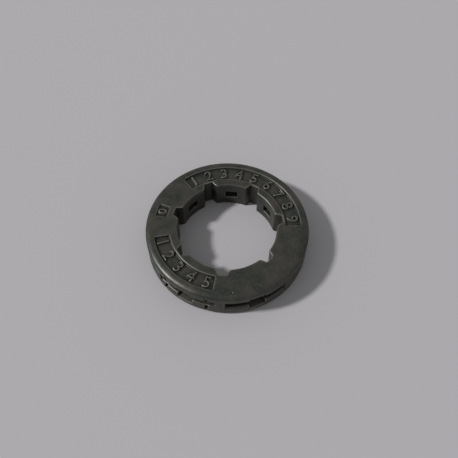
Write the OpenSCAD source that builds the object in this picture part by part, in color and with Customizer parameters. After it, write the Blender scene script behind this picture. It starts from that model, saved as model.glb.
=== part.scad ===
// Rim sprocket of a garden saw's chain drive, cast in one piece.
// A flat steel ring that slides on the splines of a clutch drum. Two rails run round its rim and
// carry the side straps of the chain. Between them lie pockets, one over each spline land, that
// take the chain's drive links. A window in each pocket lets chips fall through to the bore.
// One face is flat and bare. The other has sunk channels for raised marks.
// The origin is the centre of the bore at the bare face, and +Z points to the marked face.

/* [Rim] */
// Outer diameter, over the two rails
rim_d = 31.4; // [28:0.2:40]
// Thickness between the two flat faces
rim_t = 6.1; // [5.2:0.1:8]
// Radial width of the rounded shoulder between a face and the rim
shoulder_w = 1.3; // [0.6:0.1:1.8]
// Height of the rounded shoulder
shoulder_h = 0.67; // [0.3:0.01:0.9]

/* [Spline bore] */
// Number of grooves in the bore, and of pockets in the rim
spline_count = 7; // [6:1:8]
// Diameter of the bore across the lands between the grooves
bore_d = 19.1; // [16:0.1:22.5]
// Depth of a groove below the lands
groove_depth = 1.25; // [0.6:0.05:1.6]
// Width of a groove where it meets the lands
groove_mouth_w = 2.45; // [2:0.05:3.6]
// Width of a groove at its root
groove_root_w = 1.6; // [1:0.05:1.9]
// Width and depth of the broken corner between a groove and a land
groove_corner = 0.15; // [0.1:0.05:0.4]
// Chamfer at both ends of the lands
land_chamfer = 0.2; // [0.1:0.05:0.5]
// Angle of the first groove, from +X
groove_angle = -95; // [-180:1:180]

/* [Drive-link pockets] */
// Gap between the rails, wider than a drive link
link_gap = 1.7; // [1.3:0.1:2.2]
// Lead-in on the inner edge of a rail, measured along the rim's thickness
lead_in_h = 0.35; // [0.1:0.05:0.5]
// Lead-in on the inner edge of a rail, measured in from the rim
lead_in_depth = 0.35; // [0.1:0.05:0.6]
// Width of a tooth's tip between two pockets
tooth_tip_w = 1.75; // [1:0.05:2.6]
// Depth of a pocket, from the rim to its floor
pocket_depth = 3.7; // [2.5:0.1:4.6]
// Width of a pocket's floor
pocket_floor_w = 4.6; // [3.4:0.1:6]
// Radius of the hollow flanks of the teeth, which fit the drive links
flank_r = 9; // [5:0.5:20]

/* [Chip windows] */
// Width of a window at the rim
window_w = 3.2; // [2.6:0.1:4]
// Height of a window at the rim
window_h = 3.4; // [2.4:0.1:4]
// Width of the hole in which a window ends in the bore
chip_hole_w = 2.4; // [1.4:0.1:3]
// Height of the hole in which a window ends in the bore
chip_hole_h = 1.8; // [1:0.1:2.4]

/* [Marking channels] */
// Depth of the two channels that hold the raised marks
channel_depth = 0.45; // [0.2:0.05:0.8]
// How much a channel's walls lean out over their height
channel_draft = 0.15; // [0:0.05:0.3]
// Face left between a channel and the rounded shoulder
channel_outer_wall = 0.3; // [0.1:0.05:0.8]
// Face left between a channel and the roots of the grooves
channel_inner_wall = 0.4; // [0.2:0.05:0.8]
// First angle of the long channel
long_channel_start = 0; // [-10:1:40]
// Angle that the long channel covers
long_channel_sweep = 128; // [60:1:130]
// First angle of the short channel
short_channel_start = 191; // [185:1:200]
// Angle that the short channel covers
short_channel_sweep = 68; // [40:1:80]
// Depth of the small recess for a single mark
mark_recess_depth = 0.3; // [0.1:0.05:0.6]
// Radial width of the small recess
mark_recess_w = 2.2; // [1.5:0.1:2.8]
// Middle angle of the small recess
mark_recess_angle = 165; // [150:1:175]
// Angle that the small recess covers
mark_recess_sweep = 11; // [6:1:16]

/* [Wear] */
// Width of the narrow nicks that the chain has left across the rails
nick_w = 0.65; // [0.2:0.05:1]
// Depth of the nicks
nick_depth = 0.4; // [0.1:0.05:0.8]
// Height of the nicks along the rim's thickness
nick_h = 4; // [2:0.1:4.4]
// Angles of the nicks
nick_angles = [-104.5, -137];
// Diameter of the pit in the marked face
pit_d = 0.5; // [0.2:0.05:0.8]
// Angle of the pit
pit_angle = -87; // [-180:1:180]

/* [Hidden] */
$fn = 96;

rim_r = rim_d / 2;
bore_r = bore_d / 2;
mid_z = rim_t / 2;
pitch_angle = 360 / spline_count;
groove_root_r = bore_r + groove_depth;
shoulder_inner_r = rim_r - shoulder_w;
channel_outer_r = shoulder_inner_r - channel_outer_wall;
channel_inner_r = groove_root_r + channel_inner_wall;
pocket_floor_r = rim_r - pocket_depth;
pocket_half_angle = pitch_angle / 2 - asin(tooth_tip_w / 2 / rim_r);

// How far a cutting body runs past the surface that it cuts
over = 1;
// Number of flats that make up a rounded shoulder
shoulder_steps = 6;
// Rise of the pit's centre over the face, as a share of its radius
pit_rise = 0.3;

// Copies of a feature in every pocket, which lies over a land
module at_each_land() {
    for (k = [0 : spline_count - 1])
        rotate([0, 0, groove_angle + (k + 0.5) * pitch_angle])
            children();
}

// Copies of a feature in every groove
module at_each_groove() {
    for (k = [0 : spline_count - 1])
        rotate([0, 0, groove_angle + k * pitch_angle])
            children();
}

// Outline points of the shoulder, a quarter of an oval, from the face out to the rim
function shoulder_points(steps) = [
    for (k = [0 : steps])
        [shoulder_inner_r + shoulder_w * sin(90 * k / steps),
         rim_t - shoulder_h * (1 - cos(90 * k / steps))]
];

// The same points on the bare face, from the rim back to the face
function low_shoulder_points(steps) = [
    for (k = [steps : -1 : 0])
        [shoulder_points(steps)[k][0], rim_t - shoulder_points(steps)[k][1]]
];

// The ring before its bore is splined and its pockets are formed
module ring_blank() {
    rotate_extrude()
        polygon(concat(
            [[bore_r, land_chamfer], [bore_r, rim_t - land_chamfer],
             [bore_r + land_chamfer, rim_t]],
            shoulder_points(shoulder_steps),
            low_shoulder_points(shoulder_steps),
            [[bore_r + land_chamfer, 0]]
        ));
}

// One groove of the spline, with broken corners at its mouth
module spline_groove() {
    mouth = groove_mouth_w / 2;
    root = groove_root_w / 2;
    translate([0, 0, -over])
        linear_extrude(rim_t + 2 * over)
            polygon([
                [bore_r - over, -mouth - groove_corner],
                [bore_r, -mouth - groove_corner],
                [bore_r + groove_corner, -mouth],
                [groove_root_r, -root],
                [groove_root_r, root],
                [bore_r + groove_corner, mouth],
                [bore_r, mouth + groove_corner],
                [bore_r - over, mouth + groove_corner]
            ]);
}

// Centre of a circle of radius r through two points, on the right of the way from a to b
function arc_centre(a, b, r) =
    let (chord = b - a, middle = (a + b) / 2, reach = sqrt(r * r - chord * chord / 4))
    middle + [chord[1], -chord[0]] / norm(chord) * reach;

// Plan of one pocket: its two hollow flanks run from the teeth's tips to the flat floor
module pocket_plan() {
    tip = rim_r * [cos(pocket_half_angle), sin(pocket_half_angle)];
    heel = [pocket_floor_r, pocket_floor_w / 2];
    centre = arc_centre(heel, tip, flank_r);
    intersection() {
        translate(centre)
            circle(flank_r);
        translate([centre[0], -centre[1]])
            circle(flank_r);
        translate([pocket_floor_r, -rim_r])
            square([pocket_depth + over, rim_d]);
    }
}

// One pocket between the rails, with a lead-in along its mouth
module link_pocket() {
    translate([0, 0, mid_z - link_gap / 2])
        linear_extrude(link_gap)
            pocket_plan();
    gap_half = link_gap / 2;
    lead_half = gap_half + lead_in_h * (over + lead_in_depth) / lead_in_depth;
    rotate([0, 0, -pocket_half_angle])
        rotate_extrude(angle = 2 * pocket_half_angle)
            polygon([
                [rim_r - lead_in_depth, mid_z - gap_half],
                [rim_r + over, mid_z - lead_half],
                [rim_r + over, mid_z + lead_half],
                [rim_r - lead_in_depth, mid_z + gap_half]
            ]);
}

// Outline of a window in one plane: wide at the rim, and narrow from the pocket's floor inwards
module window_outline(rim_size, hole_size) {
    slope = (rim_size - hole_size) / 2 / pocket_depth;
    polygon([
        [bore_r - over, -hole_size / 2],
        [pocket_floor_r, -hole_size / 2],
        [rim_r + over, -rim_size / 2 - slope * over],
        [rim_r + over, rim_size / 2 + slope * over],
        [pocket_floor_r, hole_size / 2],
        [bore_r - over, hole_size / 2]
    ]);
}

// One window, which narrows both ways from the rim to the hole in the bore
module chip_window() {
    intersection() {
        linear_extrude(rim_t)
            window_outline(window_w, chip_hole_w);
        translate([0, rim_r, mid_z])
            rotate([90, 0, 0])
                linear_extrude(rim_d)
                    window_outline(window_h, chip_hole_h);
    }
}

// A sunk stretch of the marked face, between two radii, with leaning walls
module face_channel(inner_r, outer_r, depth, start, sweep) {
    lean = channel_draft * over / depth;
    rotate([0, 0, start])
        rotate_extrude(angle = sweep)
            polygon([
                [inner_r + channel_draft, rim_t - depth],
                [outer_r - channel_draft, rim_t - depth],
                [outer_r + lean, rim_t + over],
                [inner_r - lean, rim_t + over]
            ]);
}

// The two channels and the small recess that hold the raised marks
module marking_recesses() {
    face_channel(channel_inner_r, channel_outer_r, channel_depth,
        long_channel_start, long_channel_sweep);
    face_channel(channel_inner_r, channel_outer_r, channel_depth,
        short_channel_start, short_channel_sweep);
    face_channel(channel_outer_r - mark_recess_w, channel_outer_r, mark_recess_depth,
        mark_recess_angle - mark_recess_sweep / 2, mark_recess_sweep);
}

// Nicks across the rails, and a pit at the edge of the marked face
module wear_marks() {
    for (angle = nick_angles)
        rotate([0, 0, angle])
            translate([rim_r - nick_depth, -nick_w / 2, mid_z - nick_h / 2])
                cube([nick_depth + over, nick_w, nick_h]);
    rotate([0, 0, pit_angle])
        translate([shoulder_inner_r, 0, rim_t + pit_rise * pit_d / 2])
            sphere(d = pit_d);
}

// The whole casting
module rim_sprocket() {
    color([0.22, 0.21, 0.19])
        difference() {
            ring_blank();
            at_each_groove() spline_groove();
            at_each_land() link_pocket();
            at_each_land() chip_window();
            marking_recesses();
            wear_marks();
        }
}

rim_sprocket();
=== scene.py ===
import math

import bpy
import numpy as np
from mathutils import Matrix, Quaternion, Vector


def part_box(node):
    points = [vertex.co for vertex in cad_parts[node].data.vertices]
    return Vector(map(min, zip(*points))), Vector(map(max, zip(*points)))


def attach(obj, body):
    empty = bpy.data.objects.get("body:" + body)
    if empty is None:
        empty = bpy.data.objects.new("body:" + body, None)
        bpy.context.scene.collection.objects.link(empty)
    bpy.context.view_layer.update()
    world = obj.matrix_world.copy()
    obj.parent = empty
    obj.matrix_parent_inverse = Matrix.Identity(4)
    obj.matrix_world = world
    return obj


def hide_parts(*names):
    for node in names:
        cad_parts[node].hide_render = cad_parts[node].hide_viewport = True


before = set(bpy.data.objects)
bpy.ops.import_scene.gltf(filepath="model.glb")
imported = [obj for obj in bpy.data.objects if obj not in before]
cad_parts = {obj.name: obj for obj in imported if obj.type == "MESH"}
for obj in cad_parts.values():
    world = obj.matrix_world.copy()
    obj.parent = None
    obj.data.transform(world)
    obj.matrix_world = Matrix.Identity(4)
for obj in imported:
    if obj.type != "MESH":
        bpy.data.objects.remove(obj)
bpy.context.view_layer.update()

# Rim casting.
# The whole sprocket is one steel casting: rails, drive-link pockets, splined bore and marked face.
# It has the soft edges and the slight waviness of its mould, so a finer mesh of the same form stands
# for the CAD solid. Its marks are cast with it, raised in sunk channels to just under the face.

MM = 0.001

# Grid of the finer mesh, and the passes of smoothing that round its edges to about 0.15 mm
casting_grid_mm = 0.065
edge_rounding_passes = 7
edge_rounding_share = 0.5
casting_triangles = 194000

# The channels of the marked face and the small recess between them, as the CAD has them
face_height_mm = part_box("rim_sprocket")[1].z / MM
channel_depth_mm = 0.45
channel_floor_mm = face_height_mm - channel_depth_mm
channel_middle_mm = 12.65
recess_depth_mm = 0.3
recess_floor_mm = face_height_mm - recess_depth_mm
recess_middle_mm = 13.0
recess_angle = 165

numeral_height_mm = 2.2
recess_numeral_mm = 1.7
numeral_top_under_face_mm = 0.04
numeral_foot_mm = 0.2
numeral_draft_mm = 0.09
numeral_weight_mm = 0.03
numeral_curve_steps = 6


def raised_numeral(digit, height_mm, radius_mm, angle_deg, floor_mm, tops_outward):
    """Mesh of one plain numeral, standing on a channel's floor at a radius and an angle."""
    top = face_height_mm - numeral_top_under_face_mm
    foot = floor_mm - numeral_foot_mm
    letter = bpy.data.curves.new("numeral", "FONT")
    letter.body = digit
    letter.size = 1
    letter.resolution_u = numeral_curve_steps
    shape = bpy.data.objects.new("numeral", letter)
    bpy.context.scene.collection.objects.link(shape)
    bpy.context.view_layer.update()
    letter.size = height_mm / shape.dimensions.y
    letter.offset = numeral_weight_mm - numeral_draft_mm
    letter.bevel_depth = numeral_draft_mm
    letter.bevel_resolution = 1
    letter.extrude = (top - foot) / 2 - numeral_draft_mm
    bpy.context.view_layer.update()
    mesh = bpy.data.meshes.new_from_object(shape.evaluated_get(bpy.context.evaluated_depsgraph_get()))
    bpy.data.objects.remove(shape)
    bpy.data.curves.remove(letter)
    corners = np.array([v.co for v in mesh.vertices])
    middle = (corners.min(0) + corners.max(0)) / 2
    turn = math.radians(angle_deg - 90 if tops_outward else angle_deg + 90)
    outward = Vector((math.cos(math.radians(angle_deg)), math.sin(math.radians(angle_deg)), 0))
    seat = outward * radius_mm + Vector((0, 0, (top + foot) / 2))
    placing = Matrix.Translation(seat) @ Matrix.Rotation(turn, 4, "Z")
    mesh.transform(placing @ Matrix.Translation(-Vector(middle)))
    return mesh


# A count from 1 to 9 in the long channel, read clockwise with the tops outward, and a shorter one
# in the short channel, read the other way with the tops to the bore
long_count = 9
long_count_start = 121.5
long_count_step = 14.3
short_count = 5
short_count_start = 197
short_count_step = 14

marks = []
for place in range(long_count):
    digit = str(place + 1)
    angle = long_count_start - place * long_count_step
    marks.append(raised_numeral(digit, numeral_height_mm, channel_middle_mm, angle, channel_floor_mm, True))
for place in range(short_count):
    digit = str(place + 1)
    angle = short_count_start + place * short_count_step
    marks.append(raised_numeral(digit, numeral_height_mm, channel_middle_mm, angle, channel_floor_mm, False))
recess_mark = raised_numeral("0", recess_numeral_mm, recess_middle_mm, recess_angle, recess_floor_mm, True)
marks.append(recess_mark)


def in_millimetres(mesh):
    """A copy of a CAD mesh at a thousand times its size, because the remesher has a smallest grid."""
    copy = mesh.copy()
    copy.transform(Matrix.Scale(1 / MM, 4))
    return copy


def joined(meshes, name):
    """One object that holds all the meshes."""
    obj = bpy.data.objects.new(name, meshes[0])
    bpy.context.scene.collection.objects.link(obj)
    others = []
    for mesh in meshes[1:]:
        other = bpy.data.objects.new("part", mesh)
        bpy.context.scene.collection.objects.link(other)
        others.append(other)
    with bpy.context.temp_override(active_object=obj, selected_editable_objects=[obj] + others):
        bpy.ops.object.join()
    return obj


def settle_modifiers(obj):
    """Makes an object's modifiers part of its mesh."""
    shaped = bpy.data.meshes.new_from_object(obj.evaluated_get(bpy.context.evaluated_depsgraph_get()))
    obj.modifiers.clear()
    obj.data = shaped


def points_of(mesh, what, size):
    """A mesh's coordinates, normals or edges as an array of rows."""
    kind = np.int32 if what == "vertices" else np.float32
    source = {"co": mesh.vertices, "vector": mesh.vertex_normals, "vertices": mesh.edges}[what]
    values = np.empty(len(source) * size, kind)
    source.foreach_get(what, values)
    return values.reshape(-1, size)


def neighbour_mean(values, edges, count):
    """The mean of a value over each point's neighbours."""
    total = np.bincount(edges[:, 0], values[edges[:, 1]], len(values))
    total += np.bincount(edges[:, 1], values[edges[:, 0]], len(values))
    return total / count


# Bends, per millimetre, from which an edge turns to bright bare steel, partly real wear and partly a painted
# highlight, and a hollow turns dark, partly oil dirt and partly painted shade, and how far each then rises
# to its full share. A hollow is judged over a wider stretch of the surface than an edge.
edge_blurs = 4
hollow_blurs = 30
wear_and_sheen_from_bend = 1.2
wear_and_sheen_bend_span = 4.5
dirt_and_shade_from_bend = 0.2
dirt_and_shade_bend_span = 1.6


def mark_edges_and_hollows(mesh, grid):
    """Stores how sharply the surface bends out, as edge_wear_and_sheen, and in, as hollow, both from 0 to 1.
    The first brightens edges, partly as real wear and partly as a painted highlight; the second darkens
    hollows, partly as oil dirt and partly as painted shade.
    """
    co = points_of(mesh, "co", 3).astype(float)
    normal = points_of(mesh, "vector", 3)
    edges = points_of(mesh, "vertices", 2)
    count = np.maximum(np.bincount(edges.ravel(), minlength=len(co)), 1)
    lift = sum((neighbour_mean(co[:, k], edges, count) - co[:, k]) * normal[:, k] for k in range(3))
    bend = 4 * lift / grid ** 2
    for blur in range(edge_blurs):
        bend = neighbour_mean(bend, edges, count)
    wide = bend
    for blur in range(hollow_blurs):
        wide = neighbour_mean(wide, edges, count)
    for name, values in (
        ("edge_wear_and_sheen", np.clip((-bend - wear_and_sheen_from_bend) / wear_and_sheen_bend_span, 0, 1)),
        ("hollow", np.clip((wide - dirt_and_shade_from_bend) / dirt_and_shade_bend_span, 0, 1)),
    ):
        mesh.attributes.new(name, "FLOAT", "POINT").data.foreach_set("value", values.astype(np.float32))


mould_wave_size_mm = 1.3
mould_wave_depth_mm = 0.02
mould_grain_size_mm = 0.35
mould_grain_depth_mm = 0.012


def waviness(obj, name, size_mm, depth_mm):
    """Sinks the surface unevenly, by at most depth_mm."""
    pattern = bpy.data.textures.new(name, "CLOUDS")
    pattern.noise_scale = size_mm
    pattern.noise_depth = 1
    sink = obj.modifiers.new(name, "DISPLACE")
    sink.texture = pattern
    sink.strength = depth_mm
    sink.mid_level = 1


cad_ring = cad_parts["rim_sprocket"]
casting = joined([in_millimetres(cad_ring.data)] + marks, "rim_casting")
grid = casting.modifiers.new("grid", "REMESH")
grid.mode = "VOXEL"
grid.voxel_size = casting_grid_mm
grid.use_smooth_shade = True
rounding = casting.modifiers.new("rounding", "SMOOTH")
rounding.factor = edge_rounding_share
rounding.iterations = edge_rounding_passes
settle_modifiers(casting)
mark_edges_and_hollows(casting.data, casting_grid_mm)
waviness(casting, "mould_waves", mould_wave_size_mm, mould_wave_depth_mm)
waviness(casting, "mould_grain", mould_grain_size_mm, mould_grain_depth_mm)
# The grid's faces have four corners, so each counts as two triangles
thinning = casting.modifiers.new("thinning", "DECIMATE")
thinning.ratio = casting_triangles / (2 * len(casting.data.polygons))
settle_modifiers(casting)
casting.data.transform(Matrix.Scale(MM, 4))
casting.data.shade_smooth()


def noise(nodes, links, where, scale_mm, detail, name):
    """A noise pattern of a real size, as a value from 0 to 1."""
    pattern = nodes.new("ShaderNodeTexNoise")
    pattern.name = name
    pattern.inputs["Scale"].default_value = 1 / (scale_mm * MM)
    pattern.inputs["Detail"].default_value = detail
    links.new(where, pattern.inputs["Vector"])
    return pattern.outputs["Fac"]


def ramp(nodes, links, value, low, high, name):
    """A value stretched so that low becomes 0 and high becomes 1."""
    stretch = nodes.new("ShaderNodeMapRange")
    stretch.name = name
    stretch.inputs["From Min"].default_value = low
    stretch.inputs["From Max"].default_value = high
    links.new(value, stretch.inputs["Value"])
    return stretch.outputs["Result"]


def mixed(nodes, links, share, first, second, name):
    """Two colours mixed by a share. Each is a colour or a node's output."""
    mix = nodes.new("ShaderNodeMix")
    mix.name = name
    mix.data_type = "RGBA"
    links.new(share, mix.inputs["Factor"])
    for socket, colour in ((mix.inputs["A"], first), (mix.inputs["B"], second)):
        if isinstance(colour, tuple):
            socket.default_value = (*colour, 1)
        else:
            links.new(colour, socket)
    return mix.outputs["Result"]


brown_grey = (0.060, 0.054, 0.045)
green_black = (0.030, 0.036, 0.030)
pale_fleck = (0.075, 0.072, 0.060)
# Bright bare steel for the edges: partly real wear, partly a painted highlight
bare_steel_and_sheen = (0.20, 0.19, 0.165)
# Dark for the hollows: partly oil dirt, partly painted shade
oil_dirt_and_shade = (0.012, 0.014, 0.012)
blotch_size_mm = 2.6
blotch_low = 0.38
blotch_high = 0.64
fleck_size_mm = 0.45
fleck_low = 0.5
fleck_high = 0.9
skin_grain_size_mm = 0.14
skin_grain_depth_mm = 0.02
skin_grain_strength = 0.35
steel_metallic = 0.55
glossy_roughness = 0.30
dull_roughness = 0.48


def oiled_cast_steel():
    """Dark cast steel under old oil, blotched, with edges painted bright, partly as real wear and partly as
    a painted highlight, and hollows painted dark, partly as oil dirt and partly as painted shade.
    """
    steel = bpy.data.materials.new("cast_steel_oiled")
    steel.use_nodes = True
    nodes = steel.node_tree.nodes
    links = steel.node_tree.links
    shader = nodes["Principled BSDF"]
    where = nodes.new("ShaderNodeTexCoord").outputs["Object"]
    wear_and_sheen = nodes.new("ShaderNodeAttribute")
    wear_and_sheen.attribute_name = "edge_wear_and_sheen"
    hollow = nodes.new("ShaderNodeAttribute")
    hollow.attribute_name = "hollow"
    blotches = noise(nodes, links, where, blotch_size_mm, 4, "blotches")
    blotch_share = ramp(nodes, links, blotches, blotch_low, blotch_high, "blotch_edges")
    flecks = noise(nodes, links, where, fleck_size_mm, 3, "flecks")
    fleck_share = ramp(nodes, links, flecks, fleck_low, fleck_high, "fleck_edges")
    skin = mixed(nodes, links, blotch_share, green_black, brown_grey, "skin")
    skin = mixed(nodes, links, fleck_share, skin, pale_fleck, "fleck_mix")
    # Hollows painted darker: partly oil dirt, partly painted shade
    skin = mixed(nodes, links, hollow.outputs["Fac"], skin, oil_dirt_and_shade, "dirt_and_shade_mix")
    # Edges painted brighter: partly real wear, partly a painted highlight
    skin = mixed(nodes, links, wear_and_sheen.outputs["Fac"], skin, bare_steel_and_sheen, "wear_and_sheen_mix")
    links.new(skin, shader.inputs["Base Color"])
    shader.inputs["Metallic"].default_value = steel_metallic
    gloss = nodes.new("ShaderNodeMapRange")
    gloss.inputs["To Min"].default_value = glossy_roughness
    gloss.inputs["To Max"].default_value = dull_roughness
    links.new(flecks, gloss.inputs["Value"])
    links.new(gloss.outputs["Result"], shader.inputs["Roughness"])
    grain = nodes.new("ShaderNodeBump")
    grain.inputs["Strength"].default_value = skin_grain_strength
    grain.inputs["Distance"].default_value = skin_grain_depth_mm * MM
    links.new(noise(nodes, links, where, skin_grain_size_mm, 3, "grain"), grain.inputs["Height"])
    links.new(grain.outputs["Normal"], shader.inputs["Normal"])
    return steel


casting.data.materials.clear()
casting.data.materials.append(oiled_cast_steel())
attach(casting, "root")
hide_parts("rim_sprocket")

# Floor.
# A wide matt sheet of pale grey card that the sprocket lies on. It lies a hair under the sprocket's
# foot, so that the two never share a plane.

floor_mesh = bpy.data.meshes.new("floor")
floor_half_width = 2.0
floor_level = -0.00002
floor_corners = [(x, y, floor_level) for x, y in ((-1, -1), (1, -1), (1, 1), (-1, 1))]
floor_corners = [(x * floor_half_width, y * floor_half_width, z) for x, y, z in floor_corners]
floor_mesh.from_pydata(floor_corners, [], [(0, 1, 2, 3)])
floor = bpy.data.objects.new("floor", floor_mesh)
bpy.context.scene.collection.objects.link(floor)
card_grey = (0.405, 0.395, 0.41)
card_roughness = 0.8
card_specular = 0.2
card = bpy.data.materials.new("pale_card")
card.use_nodes = True
card_shader = card.node_tree.nodes["Principled BSDF"]
card_shader.inputs["Base Color"].default_value = (*card_grey, 1)
card_shader.inputs["Roughness"].default_value = card_roughness
card_shader.inputs["Specular IOR Level"].default_value = card_specular
floor_mesh.materials.append(card)

# Light.
# One soft lamp stands to the left, as a window does, and the room gives an even light from all round.

lamp_azimuth = math.radians(186)
lamp_height = math.radians(42)
lamp_width = math.radians(6.5)
lamp_strength = 2.8
lamp_data = bpy.data.lights.new("window_light", "SUN")
lamp_data.energy = lamp_strength
lamp_data.angle = lamp_width
lamp = bpy.data.objects.new("window_light", lamp_data)
to_lamp = Vector((
    math.cos(lamp_azimuth) * math.cos(lamp_height),
    math.sin(lamp_azimuth) * math.cos(lamp_height),
    math.sin(lamp_height),
))
lamp.rotation_mode = "QUATERNION"
lamp.rotation_quaternion = to_lamp.to_track_quat("Z", "Y")
bpy.context.scene.collection.objects.link(lamp)

room_grey = (0.4, 0.4, 0.4)
room = bpy.data.worlds.new("room")
room.use_nodes = True
bpy.context.scene.world = room
room.node_tree.nodes["Background"].inputs["Color"].default_value = (*room_grey, 1)
room.node_tree.nodes["Background"].inputs["Strength"].default_value = 1

# Camera.
# It looks down on the marked face from in front, and its aim lies a little to the right of the bore's
# middle.

camera_sensor = 36
camera_lens = 44.28
camera_nearest = 0.01
camera_place = Vector((0, -58.87, 96.47)) * MM
camera_aim = Vector((0.33, 1.09, 3.05)) * MM
camera_roll = math.radians(0.2)
camera_data = bpy.data.cameras.new("camera")
camera_data.sensor_width = camera_sensor
camera_data.lens = camera_lens
camera_data.clip_start = camera_nearest
camera = bpy.data.objects.new("camera", camera_data)
camera.location = camera_place
camera.rotation_mode = "QUATERNION"
straight = (camera_aim - camera_place).to_track_quat("-Z", "Y")
camera.rotation_quaternion = straight @ Quaternion((0, 0, 1), camera_roll)
bpy.context.scene.collection.objects.link(camera)
bpy.context.scene.camera = camera
bpy.context.scene.view_settings.view_transform = "Standard"
